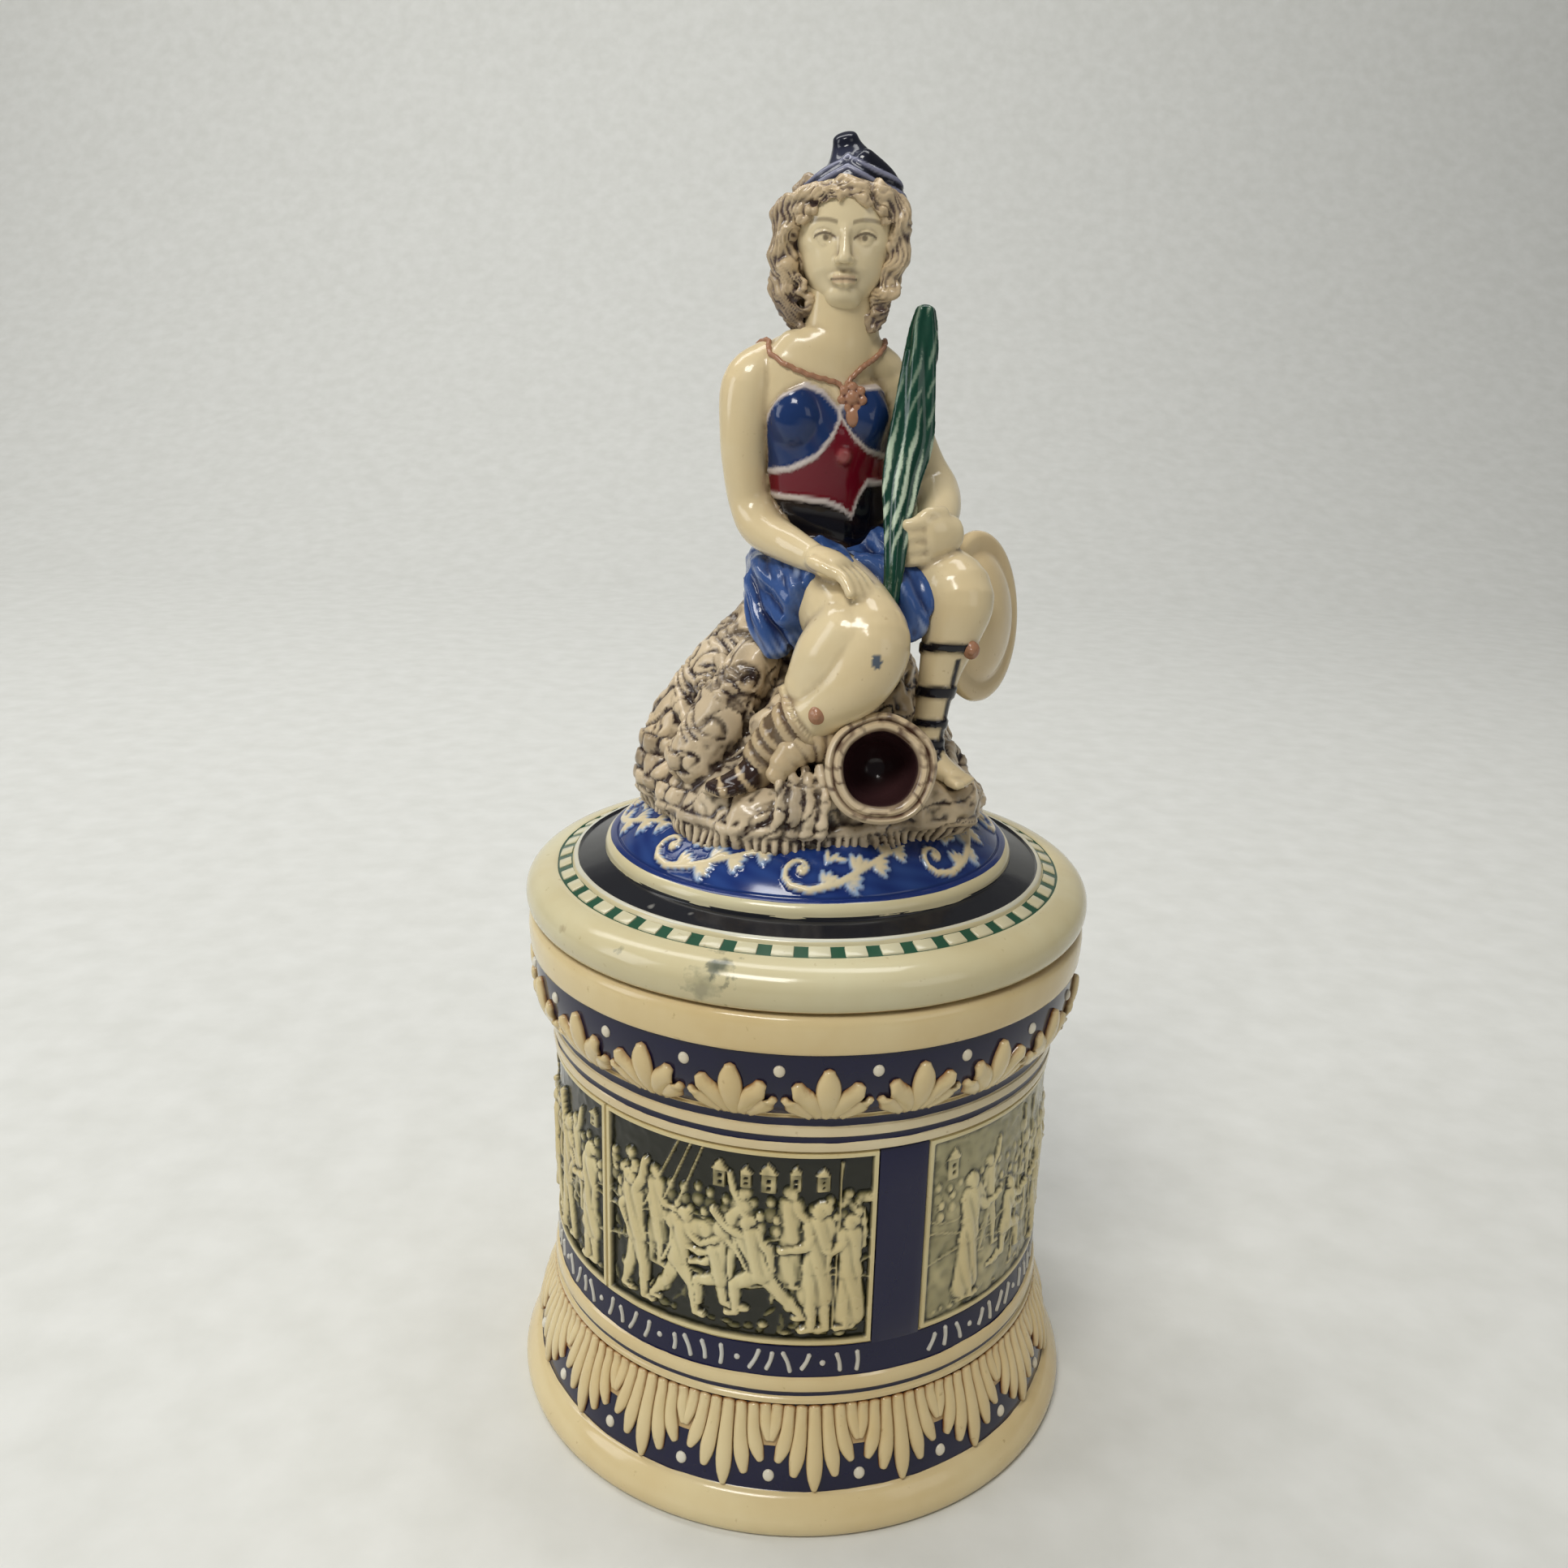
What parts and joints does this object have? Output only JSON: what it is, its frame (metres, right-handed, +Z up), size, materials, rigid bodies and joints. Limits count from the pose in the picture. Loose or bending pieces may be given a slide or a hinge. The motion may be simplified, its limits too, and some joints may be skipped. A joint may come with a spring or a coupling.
{
  "type": "tobacco jar",
  "caption": "Round glazed stoneware tobacco jar with relief bands and panels, and a lift-off lid that carries a seated classical figure.",
  "frame": {"origin": "centre of the underside, on the surface that the jar stands on", "axes": "+Z up along the jar's axis, -Y towards the front, where the seated figure looks"},
  "size_m": [0.1408, 0.1408, 0.3012],
  "materials": {
    "jar_glaze": "glossy cream glaze with navy, black and olive bands",
    "lid_glaze": "glossy ivory glaze with blue, red, green and brown details"
  },
  "bodies": {
    "root": {"jar": "jar_glaze", "lid": "lid_glaze"}
  },
  "joints": []
}
